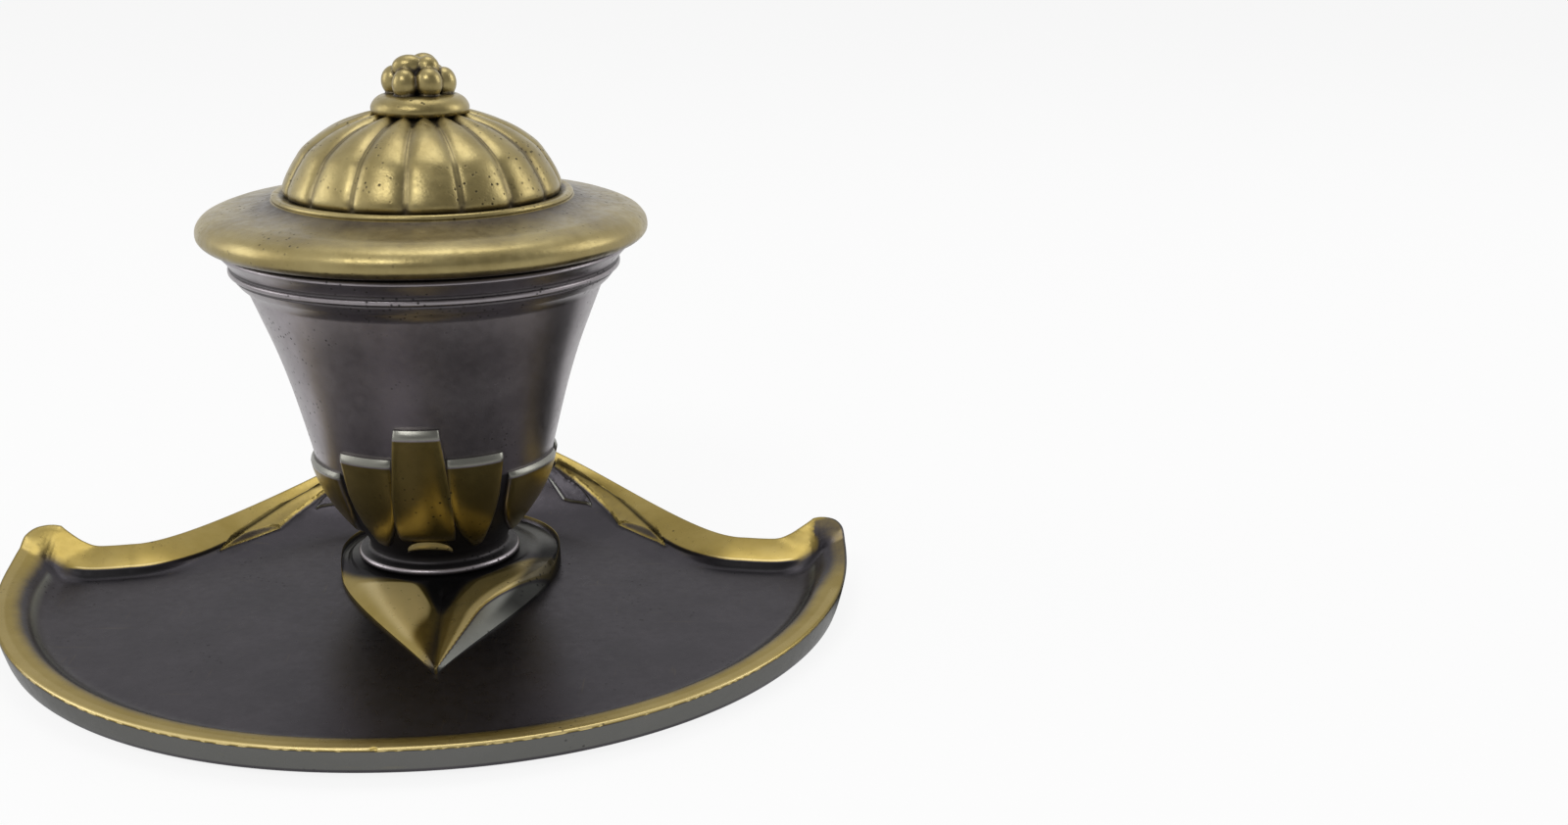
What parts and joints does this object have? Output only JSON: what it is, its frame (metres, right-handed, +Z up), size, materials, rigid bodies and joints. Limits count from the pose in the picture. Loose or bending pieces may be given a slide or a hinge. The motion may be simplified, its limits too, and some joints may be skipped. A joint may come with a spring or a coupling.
{
  "type": "desk inkstand",
  "caption": "Cast desk inkstand: a leaf-cornered pen tray carries a staved urn with a glass ink well under a hinged lid with a ribbed dome and a berry finial.",
  "frame": {"origin": "on the table, on the underside of the felt, under the urn's axis", "axes": "+X to the right along the tray's width, +Y to the back where the hinge is, +Z up"},
  "size_m": [0.1536, 0.1256, 0.0997],
  "materials": {
    "dark_casting": "satin",
    "bronze_casting": "satin",
    "brass": "satin",
    "steel": "satin",
    "glass": "gloss",
    "felt": "matte"
  },
  "bodies": {
    "base": {"base_felt": "felt", "pen_tray": "dark_casting", "urn_screw": "steel", "urn_screw_washer": "steel", "urn": "dark_casting", "well_deck": "brass", "urn_hinge_leaf": "brass", "urn_leaf_screw_left": "steel", "urn_leaf_screw_right": "steel", "hinge_pin": "steel"},
    "lid": {"lid": "bronze_casting", "lid_hinge_leaf": "brass", "lid_leaf_screw_left": "steel", "lid_leaf_screw_right": "steel", "finial": "bronze_casting", "finial_stud": "steel", "finial_washer": "steel", "finial_nut": "brass"},
    "well": {"ink_well": "glass"}
  },
  "joints": [
    {"name": "lid_hinge", "type": "hinge", "parent": "base", "child": "lid", "pos_m": [0, 0.0389, 0.06645], "axis": [-1, 0, 0], "range_deg": [0, 105]},
    {"name": "well_lift", "type": "slide", "parent": "base", "child": "well", "axis": [0, 0, 1], "range_m": [0, 0.006]}
  ]
}
